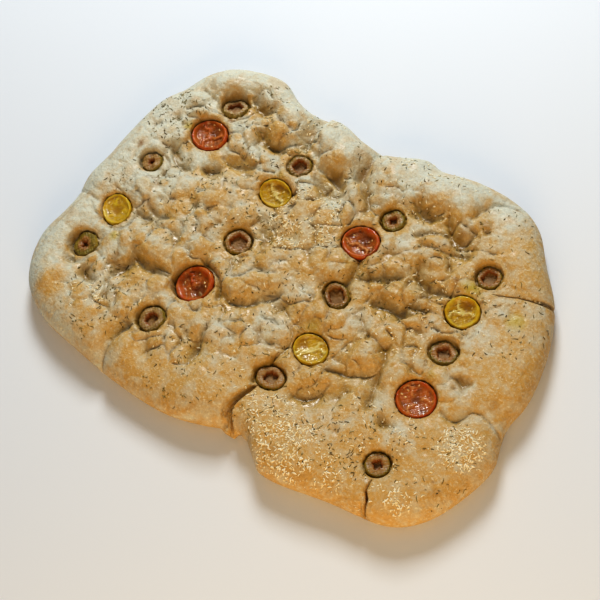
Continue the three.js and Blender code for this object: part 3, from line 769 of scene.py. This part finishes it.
# Painted shade: the crust under each slice, which shows in the gap around it, is painted dark brown.
under_slice = np.zeros(len(loaf_x))
beside_slice = np.zeros(len(loaf_x))
for topping in toppings:
    middle, radius = slice_circle(topping)
    far = np.hypot(loaf_points[:, 0] - middle.x / mm, loaf_points[:, 1] - middle.y / mm) - radius / mm
    under_slice = np.maximum(under_slice, falling(far, -1.5, 1.5))
    beside_slice = np.maximum(beside_slice, falling(far, 5, 6))
golden += slice_gold * beside_slice
brown += under_slice_shade * under_slice + slice_brown * beside_slice
for line, _, _ in loaf_cracks:
    beside_crack = crease_profile(loaf_x, loaf_y, line, 2.6, 2.6)
    golden += crack_gold * beside_crack
    brown += crack_brown * beside_crack
# Painted shade: each crease's line is painted brown, darker the deeper the crease.
for line, _, _, depth in loaf_creases:
    in_crease = crease_profile(loaf_x, loaf_y, line, 1.5, 1.5)
    brown = np.maximum(brown, crease_shade_brown * depth * in_crease * on_top)
golden += knob_gold * np.clip(small_rise / 0.9, -1, 1) * np.clip(0.6 - loaf_x / 120, 0, 1) * centre_share
# Painted highlight and flour: the pale patches, palest on flatter crust, are partly painted sheen.
flour_and_highlight_share = soft_spots(loaf_x, loaf_y, flour_and_highlight_places)
golden -= flour_and_highlight_paleness * flour_and_highlight_share * (1 - beside_slice * 0.5)
oiled = centre_share * on_top * (1 - under_slice) * (0.35 + 0.6 * np.clip(-large_rise / 2.5, -0.4, 1))
add_attribute(loaf, "flour_and_highlight", flour_and_highlight_share * np.clip(1.2 - 0.6 * slope, 0, 1))
add_attribute(loaf, "golden", golden)
add_attribute(loaf, "brown", brown)
add_attribute(loaf, "juice", soft_spots(loaf_x, loaf_y, juice_spots))
add_attribute(loaf, "oiled", oiled)


def read_attribute(finish, name):
    node = finish.node_tree.nodes.new("ShaderNodeAttribute")
    node.attribute_name = name
    return node.outputs["Fac"]


def pattern(finish, scale_mm, detail=3.0, roughness=0.55, distortion=0.0):
    """Soft noise of about this size on the piece's own coordinates."""
    tree = finish.node_tree
    place = tree.nodes.new("ShaderNodeTexCoord")
    noise = tree.nodes.new("ShaderNodeTexNoise")
    settle(noise, {
        "Vector": place.outputs["Object"], "Scale": 1 / (scale_mm * mm), "Detail": detail,
        "Roughness": roughness, "Distortion": distortion,
    })
    return noise.outputs["Fac"]


def spread(value, low, high, new_low=0.0, new_high=1.0):
    """The value carried from one range to another, and held inside it."""
    node = value.id_data.nodes.new("ShaderNodeMapRange")
    settle(node, {
        "Value": value, "From Min": low, "From Max": high, "To Min": new_low, "To Max": new_high,
    })
    return node.outputs["Result"]


def sum_of(first, second, operation="ADD"):
    node = first.id_data.nodes.new("ShaderNodeMath")
    node.operation = operation
    node.use_clamp = True
    feed(node.inputs[0], first)
    feed(node.inputs[1], second)
    return node.outputs["Value"]


def blend(share, first, second):
    """The first colour where the share is 0, the second where it is 1."""
    node = share.id_data.nodes.new("ShaderNodeMix")
    node.data_type = "RGBA"
    feed(node.inputs["Factor"], share)
    feed(node.inputs[6], first)
    feed(node.inputs[7], second)
    return node.outputs[2]


def bumps(shader, layers):
    """Fine relief in the finish: each layer is a pattern and its height."""
    normal = None
    for height, depth in layers:
        node = shader.id_data.nodes.new("ShaderNodeBump")
        settle(node, {"Strength": 1.0, "Distance": depth * mm, "Height": height})
        if normal is not None:
            feed(node.inputs["Normal"], normal)
        normal = node.outputs["Normal"]
    feed(shader.inputs["Normal"], normal)


crust, crust_shader = new_finish("baked_crust")
broad = pattern(crust, 26, 2)
middling = pattern(crust, 8, 3, 0.5, 0.3)
fine = pattern(crust, 2.6, 3, 0.6)
speckle = pattern(crust, 1.6, 2, 0.6, 0.4)
pores = pattern(crust, 0.8, 3, 0.7)
golden_share = sum_of(read_attribute(crust, "golden"), spread(broad, 0.35, 0.7, -0.12, 0.2))
golden_share = sum_of(golden_share, spread(middling, 0.36, 0.64, -0.32, 0.38))
brown_share = sum_of(read_attribute(crust, "brown"), spread(middling, 0.45, 0.8, -0.12, 0.25))
brown_share = sum_of(brown_share, spread(fine, 0.45, 0.8, -0.05, 0.22))
flour_and_highlight = sum_of(read_attribute(crust, "flour_and_highlight"), spread(fine, 0.4, 0.65, 0.1, 0.8), "MULTIPLY")
oil = read_attribute(crust, "oiled")
juice = sum_of(read_attribute(crust, "juice"), spread(middling, 0.3, 0.6, 0.3, 1.0), "MULTIPLY")
skin = pale_crust
for share, colour in (
    (golden_share, golden_crust),
    (flour_and_highlight, flour_and_highlight_colour),
    (spread(fine, 0.5, 0.72, 0, 0.5), light_grain),
    (spread(speckle, 0.56, 0.70, 0, 0.5), light_speck),
    (spread(speckle, 0.40, 0.26, 0, 0.5), dark_speck),
    (brown_share, brown_crust),
    (juice, juice_stain),
    (sum_of(oil, 0.3, "MULTIPLY"), oil_stain),
):
    skin = blend(share, skin, colour)
gloss = sum_of(oil, spread(middling, 0.4, 0.7, -0.2, 0.35))
settle(crust_shader, {
    "Base Color": skin, "Roughness": spread(gloss, 0, 1, 0.62, 0.3),
    "Coat Weight": sum_of(gloss, 0.55, "MULTIPLY"), "Coat Roughness": 0.22,
})
bumps(crust_shader, ((fine, 0.9), (speckle, 0.4), (pores, 0.1)))
cover(loaf, crust)
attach(loaf, "root")
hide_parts("bread")

# The tomato slices. Cherry tomatoes cut across, roasted in the crust: a glossy skin, a thick wall of flesh
# that has drawn up at the rim, and sunken chambers of jelly with seeds. Each starts as its own solid.
slice_voxel = 0.5 * mm
tomato_soft_rounds = 12
core_radius = 2.6
seed_count = {"red": 6, "yellow": 3}
seed_gap = 2.4
seed_size = (2.2, 1.2, 0.8)
tomato_colours = {
    "red": {
        "skin": (0.40, 0.045, 0.006), "flesh": (0.45, 0.066, 0.008), "light flesh": (0.50, 0.135, 0.014),
        "jelly": (0.40, 0.095, 0.010), "dark jelly": (0.17, 0.042, 0.007), "pulp": (0.68, 0.38, 0.12),
        "seed": (0.66, 0.30, 0.06),
    },
    "yellow": {
        "skin": (0.52, 0.27, 0.006), "flesh": (0.56, 0.31, 0.008), "light flesh": (0.60, 0.42, 0.03),
        "jelly": (0.54, 0.31, 0.014), "dark jelly": (0.34, 0.16, 0.010), "pulp": (0.74, 0.66, 0.30),
        "seed": (0.66, 0.48, 0.08),
    },
}
pale_seed = (0.82, 0.60, 0.26)
# For each slice: the turns of the walls between its chambers, the chambers' depth, the rim's thickness, how
# wrinkled the rim is, how pale the flesh between the chambers is, and a hollow's middle, reach and depth.
tomato_slices = {
    "tomato_red_1": ((15, 140, 265), 1.3, 2.2, 0.6, 0.2, (1, 4, 5.5, 1.0)),
    "tomato_red_2": ((150,), 1.6, 3.0, 0.5, 0.1, (4.5, -2.5, 6.0, 2.2)),
    "tomato_red_3": ((205, 330), 1.5, 2.6, 0.4, 0.9, (1, 3.5, 6.5, 1.8)),
    "tomato_red_4": ((30, 150, 270), 0.7, 1.8, 0.35, 0.8, (0, 0, 4.5, 0.7)),
    "tomato_yellow_1": ((10, 130, 250), 0.35, 2.0, 0.4, 0.0, (0, 0, 5.0, 0.8)),
    "tomato_yellow_2": ((150, 330), 1.0, 1.9, 0.4, 1.0, (0, 5, 4.5, 0.6)),
    "tomato_yellow_3": ((30, 60, 215, 240), 0.6, 1.8, 0.4, 0.9, (-6, 0, 4.5, 0.5)),
    "tomato_yellow_4": ((25, 150, 215), 1.2, 2.4, 0.5, 1.0, (1, 4.5, 5.0, 1.2)),
}


def fine_slice(node, rounds):
    """The node's own shape with a fine, even mesh and soft corners."""
    piece = copy_of_node(node, "slice_" + node)
    make_fine(piece, slice_voxel, rounds)
    bpy.ops.object.shade_smooth()
    return piece


def smooth_step(value, low, high):
    share = np.clip((value - low) / (high - low), 0, 1)
    return share * share * (3 - 2 * share)


def make_seed(name, length, width, thickness):
    """One flat pointed seed, lying along X."""
    bpy.ops.object.select_all(action="DESELECT")
    bpy.ops.mesh.primitive_uv_sphere_add(segments=8, ring_count=5, radius=0.5 * mm)
    seed = bpy.context.object
    seed.name = name
    open_mesh(seed)
    bpy.ops.transform.resize(value=(length, width, thickness))
    close_mesh()
    for vertex in seed.data.vertices:
        toward_tip = max(0.0, vertex.co.x / (length * mm / 2))
        vertex.co.y *= 1 - 0.7 * toward_tip ** 1.5
    bpy.ops.object.shade_smooth()
    return seed


def scatter(master, places, name):
    """Copies of one small piece at these places, each with its own mesh, joined into one piece."""
    copies = []
    for place in places:
        piece = bpy.data.objects.new(name, master.data.copy())
        bpy.context.scene.collection.objects.link(piece)
        piece.matrix_world = place
        copies.append(piece)
    activate(copies[0])
    for piece in copies:
        piece.select_set(True)
    bpy.ops.object.transform_apply(location=True, rotation=True, scale=True)
    bpy.ops.object.join()
    joined = bpy.context.object
    joined.name = name
    bpy.data.objects.remove(master)
    return joined


def standing(place, outward, turn, size=1.0, tilt=0.0):
    """A place in the world: X along the given turn, Z along the outward direction."""
    up = Vector(outward).normalized()
    frame_turn = up.to_track_quat("Z", "Y").to_matrix().to_4x4()
    return (
        Matrix.Translation(place) @ frame_turn @ Matrix.Rotation(turn, 4, "Z") @ Matrix.Rotation(tilt, 4, "Y")
        @ Matrix.Scale(size, 4)
    )


tomato_finishes = {}
seed_finishes = {}
for kind, colours in tomato_colours.items():
    finish, shader = new_finish("roasted_" + kind + "_tomato")
    pulp = pattern(finish, 1.5, 4, 0.65, 0.8)
    cloudy = pattern(finish, 4.5, 2, 0.5, 0.4)
    flesh = blend(spread(cloudy, 0.4, 0.65), colours["flesh"], colours["light flesh"])
    flesh = blend(read_attribute(finish, "skin"), flesh, colours["skin"])
    flesh = blend(read_attribute(finish, "pale"), flesh, colours["pulp"])
    jelly = blend(spread(cloudy, 0.42, 0.72), colours["jelly"], colours["dark jelly"])
    jelly = blend(spread(pulp, 0.52, 0.8, 0, 0.6), jelly, colours["pulp"])
    # Painted shade: the jelly in each slice's hollow is painted darker.
    dark = sum_of(read_attribute(finish, "dark"), 0.9, "MULTIPLY")
    jelly = blend(dark, jelly, colours["dark jelly"])
    settle(shader, {
        "Base Color": blend(read_attribute(finish, "jelly"), flesh, jelly),
        "Specular IOR Level": 0.15, "Roughness": spread(pulp, 0.3, 0.7, 0.25, 0.5),
        "Coat Weight": spread(pulp, 0.48, 0.6, 0.0, 0.9), "Coat Roughness": 0.06,
    })
    bumps(shader, ((pulp, 0.14),))
    tomato_finishes[kind] = finish
    finish, shader = new_finish(kind + "_tomato_seed")
    seed_tone = spread(pattern(finish, 1.2), 0.35, 0.65)
    settle(shader, {
        "Base Color": blend(seed_tone, colours["seed"], pale_seed),
        "Roughness": 0.4, "Coat Weight": 0.25, "Coat Roughness": 0.1,
    })
    seed_finishes[kind] = finish

seed_places = {"red": [], "yellow": []}
for node, (walls, chamber_depth, rim_thickness, wrinkling, paleness, hollow) in tomato_slices.items():
    kind = "red" if "red" in node else "yellow"
    piece = fine_slice(node, tomato_soft_rounds)
    points = points_of(piece)
    radius, turn, height, skin_reach = slice_coordinates(points)
    _, side, other, normal = slice_frame(points)
    inward = skin_reach - radius
    u, v = radius * np.cos(turn), radius * np.sin(turn)
    # Every slice's waves and torn edges begin at another place.
    phase = len(seed_places["red"]) + len(seed_places["yellow"]) * 1.7
    ragged = 0.5 * np.sin(u * 1.9 + phase) * np.sin(v * 1.6 - phase)
    ragged += 0.35 * np.sin(u * 3.3 - v * 2.7 + 2 * phase)
    pulpy = np.sin(u * 3.1 + 1.4 * np.sin(v * 2.3 + phase))
    pulpy *= np.sin(v * 3.4 + 1.4 * np.sin(u * 2.1 - phase))
    on_face = smooth_step(height, 0.2, 1.3) * smooth_step(inward, 0.5, 1.4)
    wall_distance = np.full(len(points), 99.0)
    for wall in walls:
        off = np.angle(np.exp(1j * (turn - math.radians(wall) - 0.2 * np.sin(radius * 0.7 + wall))))
        wall_distance = np.where(
            np.abs(off) < math.pi / 2, np.minimum(wall_distance, radius * np.abs(np.sin(off))), wall_distance)
    rim = rim_thickness * (1 + 0.3 * np.sin(turn * 2 + phase) + 0.15 * np.sin(turn * 5 - phase))
    chamber = smooth_step(inward + 0.4 * ragged, rim * 0.7, rim * 1.5)
    chamber *= smooth_step(wall_distance + ragged, 0.2, 2.0)
    chamber *= smooth_step(radius + ragged, core_radius * 0.4, core_radius * 1.3)
    wave = np.sin(turn * 5 + 1.7 * len(walls)) * 0.5 + np.sin(turn * 9 + radius * 0.6) * 0.5
    drop = chamber * (chamber_depth + 0.06 * pulpy + 0.2 * ragged)
    hollow_u, hollow_v, hollow_reach, hollow_depth = hollow
    from_hollow = np.hypot(u - hollow_u, v - hollow_v) + 0.7 * ragged
    in_hollow = 1 - smooth_step(from_hollow, hollow_reach * 0.35, hollow_reach)
    in_hollow *= smooth_step(inward, rim * 0.8, rim * 1.5)
    drop = np.maximum(drop, chamber * drop + hollow_depth * in_hollow * (1 - 0.3 * chamber))
    drop += 0.6 * smooth_step(inward, rim * 0.6, rim * 1.6)
    drop -= 0.15 * (1 - smooth_step(inward, rim * 0.5, rim)) * (1 + wave * wrinkling)
    drop = np.minimum(drop, np.maximum(height + height.max() * 0.6, 0))
    squeeze = wrinkling * 0.5 * wave * smooth_step(radius / skin_reach, 0.85, 1.0)
    outward = np.outer(np.cos(turn), side) + np.outer(np.sin(turn), other)
    points = points - normal * (drop * on_face)[:, None] - outward * (np.abs(squeeze) * 0.6)[:, None]
    set_points(piece, points)
    cover(piece, tomato_finishes[kind])
    add_attribute(piece, "skin", smooth_step(1.1 - inward, 0, 0.7) * smooth_step(1.6 - height, -0.6, 1.0))
    add_attribute(piece, "jelly", np.maximum(chamber, in_hollow) * on_face)
    # The dark attribute is painted shade in the slice's hollow.
    add_attribute(piece, "dark", in_hollow * on_face)
    on_wall = on_face * smooth_step(inward, rim * 0.9, rim * 1.3) * (1 - chamber)
    add_attribute(piece, "pale", on_wall * paleness * (0.6 + 0.4 * ragged))
    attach(piece, "root")
    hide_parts(node)
    chosen = []
    for number in rng.permutation(np.flatnonzero((chamber > 0.9) & (on_face > 0.9))):
        if all(np.linalg.norm(points[number] - points[taken]) > seed_gap for taken in chosen):
            chosen.append(number)
        if len(chosen) == seed_count[kind]:
            break
    for number in chosen:
        seed_places[kind].append(standing(
            Vector(points[number]) * mm, normal, turn[number] + math.pi + rng.uniform(-0.5, 0.5),
            rng.uniform(0.8, 1.15), rng.uniform(-0.2, 0.2)))

for kind in ("red", "yellow"):
    seeds = scatter(make_seed("seed", *seed_size), seed_places[kind], kind + "_tomato_seeds")
    cover(seeds, seed_finishes[kind])
    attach(seeds, "root")

# The olive slices. Pitted green olives cut across and baked: a dark, slightly shrunken skin, tan flesh, and
# the torn edge of the stone's hole. Each starts as its own solid, made fine, then wrinkled.
olive_soft_rounds = 9
olive_flesh = (0.40, 0.27, 0.09)
browned_flesh = (0.38, 0.15, 0.014)
dark_flesh = (0.20, 0.085, 0.02)
pale_flesh_and_highlight = (0.52, 0.40, 0.22)
green_skin = (0.19, 0.125, 0.008)
tan_skin = (0.33, 0.21, 0.014)
hole_edge = (0.27, 0.08, 0.008)
# For each slice: where the skin begins as a share of the radius, and how brown its flesh has turned.
olive_slices = {
    "olive_1": (0.84, 0.25), "olive_2": (0.80, 0.55), "olive_3": (0.76, 0.45), "olive_4": (0.50, 0.95),
    "olive_5": (0.84, 0.6), "olive_6": (0.66, 0.6), "olive_7": (0.80, 0.35), "olive_8": (0.80, 0.7),
    "olive_9": (0.78, 0.75), "olive_10": (0.72, 0.9), "olive_11": (0.86, 0.6), "olive_12": (0.74, 0.5),
}
olive_finish, olive_shader = new_finish("baked_olive")
cloudy = pattern(olive_finish, 3.0, 3, 0.55, 0.5)
grainy = pattern(olive_finish, 0.9, 3, 0.65)
olive_inside = blend(read_attribute(olive_finish, "brown"), olive_flesh, browned_flesh)
olive_inside = blend(spread(cloudy, 0.48, 0.7, 0, 0.7), olive_inside, dark_flesh)
# Pale grains in the flesh: partly its own paler tone, partly painted highlights.
olive_inside = blend(spread(grainy, 0.55, 0.75, 0, 0.6), olive_inside, pale_flesh_and_highlight)
olive_outside = blend(spread(cloudy, 0.35, 0.7), green_skin, tan_skin)
olive_colour = blend(read_attribute(olive_finish, "skin"), olive_inside, olive_outside)
settle(olive_shader, {
    "Base Color": blend(read_attribute(olive_finish, "hole"), olive_colour, hole_edge),
    "Roughness": spread(grainy, 0.3, 0.7, 0.35, 0.6),
    "Coat Weight": 0.12, "Coat Roughness": 0.12,
})
bumps(olive_shader, ((grainy, 0.3),))

for number, (node, (skin_from, browned)) in enumerate(olive_slices.items(), 1):
    piece = fine_slice(node, olive_soft_rounds)
    points = points_of(piece)
    radius, turn, height, skin_reach = slice_coordinates(points)
    _, side, other, normal = slice_frame(points)
    share = radius / skin_reach
    outward = np.outer(np.cos(turn), side) + np.outer(np.sin(turn), other)
    u, v = radius * np.cos(turn), radius * np.sin(turn)
    inner = radius.min()
    wave = np.sin(turn * 3 + number) + 0.6 * np.sin(turn * 7 + 2 * number)
    wave += 0.4 * np.sin(turn * 13 + 5 * number)
    shrinking = 0.4 * (wave * 0.5 + 1) * smooth_step(share, 0.8, 1.0)
    hole_wave = np.sin(turn * 4 + 3 * number) + 0.6 * np.sin(turn * 9 + number)
    hole_pull = 0.8 * hole_wave * (1 - smooth_step(radius - inner, 0.3, 2.2))
    torn = 0.25 * np.sin(u * 2.3 + number) * np.sin(v * 2.6 - number)
    torn += 0.2 * np.sin(u * 4.1 - v * 3.7 + number)
    lift = (0.45 * np.sin(turn * 4 + 1.3 * number) + torn - 0.35) * smooth_step(height, 0, 1.5)
    points = points - outward * (shrinking + hole_pull * 0.5)[:, None] + normal * lift[:, None]
    points[:, 2] = np.minimum(points[:, 2], cad_top)
    set_points(piece, points)
    cover(piece, olive_finish)
    ragged = 0.05 * np.sin(u * 2.1 + number) + 0.04 * np.sin(v * 3.1 - number)
    on_rim = smooth_step(share + ragged, skin_from, skin_from + 0.1)
    add_attribute(piece, "skin", np.maximum(on_rim, smooth_step(-height, -0.6, 0.6)))
    add_attribute(piece, "hole", 1 - smooth_step(radius - inner, 0.5, 1.6))
    add_attribute(piece, "brown", browned + torn)
    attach(piece, "root")
    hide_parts(node)

# The dried herbs and the grated cheese: hundreds of needles and shreds that lie on the oiled crust. Three of
# each kind are modelled and copied, thickest in the drifts where a hand let them fall.
sliver_sides = 5
sliver_lift = 0.12 * mm
slice_clearance = 1.0 * mm
lowest_hit = 9 * mm
top_clearance = 1.9 * mm
steepest = 0.35
tries_each = 12
dark_herb, pale_herb = (0.085, 0.055, 0.016), (0.20, 0.16, 0.045)
pale_cheese, browned_cheese = (0.92, 0.83, 0.60), (0.84, 0.66, 0.34)
# Each patch is its middle, its reach and its number of pieces.
herb_patches = [
    ((-138, 55), 26, 120), ((-100, -78), 34, 120), ((95, -72), 30, 100), ((-20, -88), 36, 70),
    ((70, 35), 40, 100), ((-70, 85), 40, 100), ((20, 90), 46, 70), ((0, 0), 70, 260), ((130, 40), 34, 60),
    ((140, -60), 34, 50), ((50, -95), 34, 40), ((-110, 0), 46, 120), ((100, 90), 26, 24),
    ((-60, 30), 40, 90), ((30, -60), 40, 50),
]
cheese_patches = [
    ((60, -98), 24, 340), ((38, -86), 18, 120), ((150, -44), 16, 220), ((136, -91), 9, 60),
    ((-16, 34), 28, 260), ((-108, -83), 14, 44), ((84, -104), 22, 80), ((0, 0), 120, 160),
    ((110, -70), 40, 90), ((-60, 100), 34, 40), ((40, 95), 40, 50), ((90, 20), 40, 60),
]
# Each shape is a sliver's length, width, thickness and bend.
herb_shapes = ((2.4, 0.6, 0.45, 0.2), (1.4, 0.8, 0.5, 0.1), (3.4, 0.5, 0.4, -0.4))
cheese_shapes = ((1.6, 1.2, 0.8, 0.15), (1.1, 1.1, 0.8, 0.0), (2.9, 0.95, 0.7, -0.3))
clear_of = [slice_circle(node) for node in toppings]


def strewn(patches):
    """Places on the crust, in patches, each with the crust's own slope there."""
    found = []
    for (patch_x, patch_y), reach, count in patches:
        placed = tries = 0
        while placed < count and tries < count * tries_each:
            tries += 1
            far = reach * math.sqrt(rng.uniform()) * rng.uniform(0.75, 1.0)
            bearing = rng.uniform(0, 2 * math.pi)
            spot = Vector((patch_x + far * math.cos(bearing), patch_y + far * math.sin(bearing), 0)) * mm
            spot += loaf_shift
            if any((spot - middle).xy.length < radius + slice_clearance for middle, radius in clear_of):
                continue
            hit, where, upward, _ = loaf.ray_cast(spot + Vector((0, 0, 0.1)), Vector((0, 0, -1)))
            if not hit or upward.z < steepest or not lowest_hit < where.z < cad_box[1][2] - top_clearance:
                continue
            found.append((where + upward * sliver_lift, upward))
            placed += 1
    return found


def sliver(name, length, width, thickness, bend):
    """A thin pointed stick along X, a little bent."""
    bpy.ops.object.select_all(action="DESELECT")
    bpy.ops.mesh.primitive_cylinder_add(
        vertices=sliver_sides, radius=0.5 * mm, depth=length * mm, end_fill_type="TRIFAN",
        rotation=(0, math.pi / 2, 0))
    bpy.ops.object.transform_apply(rotation=True)
    piece = bpy.context.object
    piece.name = name
    open_mesh(piece)
    for place in (-0.2, 0.2):
        bpy.ops.mesh.select_all(action="SELECT")
        bpy.ops.mesh.bisect(plane_co=(place * length * mm, 0, 0), plane_no=(1, 0, 0))
    bpy.ops.mesh.select_all(action="SELECT")
    bpy.ops.mesh.normals_make_consistent(inside=False)
    close_mesh()
    for vertex in piece.data.vertices:
        along = vertex.co.x / (length * mm / 2)
        vertex.co.y *= width * (1 - 0.6 * abs(along) ** 2)
        vertex.co.z *= thickness * (1 - 0.5 * abs(along) ** 2)
        vertex.co.y += bend * mm * (1 - along * along)
    bpy.ops.object.shade_smooth()
    return piece


herb_finish, herb_shader = new_finish("dried_herb")
herb_tone = spread(pattern(herb_finish, 9, 1), 0.4, 0.6)
settle(herb_shader, {
    "Base Color": blend(herb_tone, dark_herb, pale_herb),
    "Roughness": 0.75, "Specular IOR Level": 0.15,
})
cheese_finish, cheese_shader = new_finish("baked_cheese")
cheese_tone = spread(pattern(cheese_finish, 6, 2), 0.4, 0.65)
settle(cheese_shader, {
    "Base Color": blend(cheese_tone, pale_cheese, browned_cheese),
    "Roughness": 0.5,
})
bumps(cheese_shader, ((pattern(cheese_finish, 0.7), 0.15),))

for kind, patches, finish, slot_name, shapes in (
    ("herb", herb_patches, herb_finish, "herb", herb_shapes),
    ("cheese", cheese_patches, cheese_finish, "cheese", cheese_shapes),
):
    spots = strewn(patches)
    for number, shape in enumerate(shapes):
        places = []
        for where, upward in spots[number::len(shapes)]:
            turn, size, tilt = rng.uniform(0, 2 * math.pi), rng.uniform(0.6, 1.15), rng.uniform(-0.12, 0.12)
            places.append(standing(where, upward, turn, size, tilt))
        strewn_piece = scatter(sliver(kind, *shape), places, kind + "_slivers_" + str(number + 1))
        cover(strewn_piece, finish)
        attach(strewn_piece, "root")
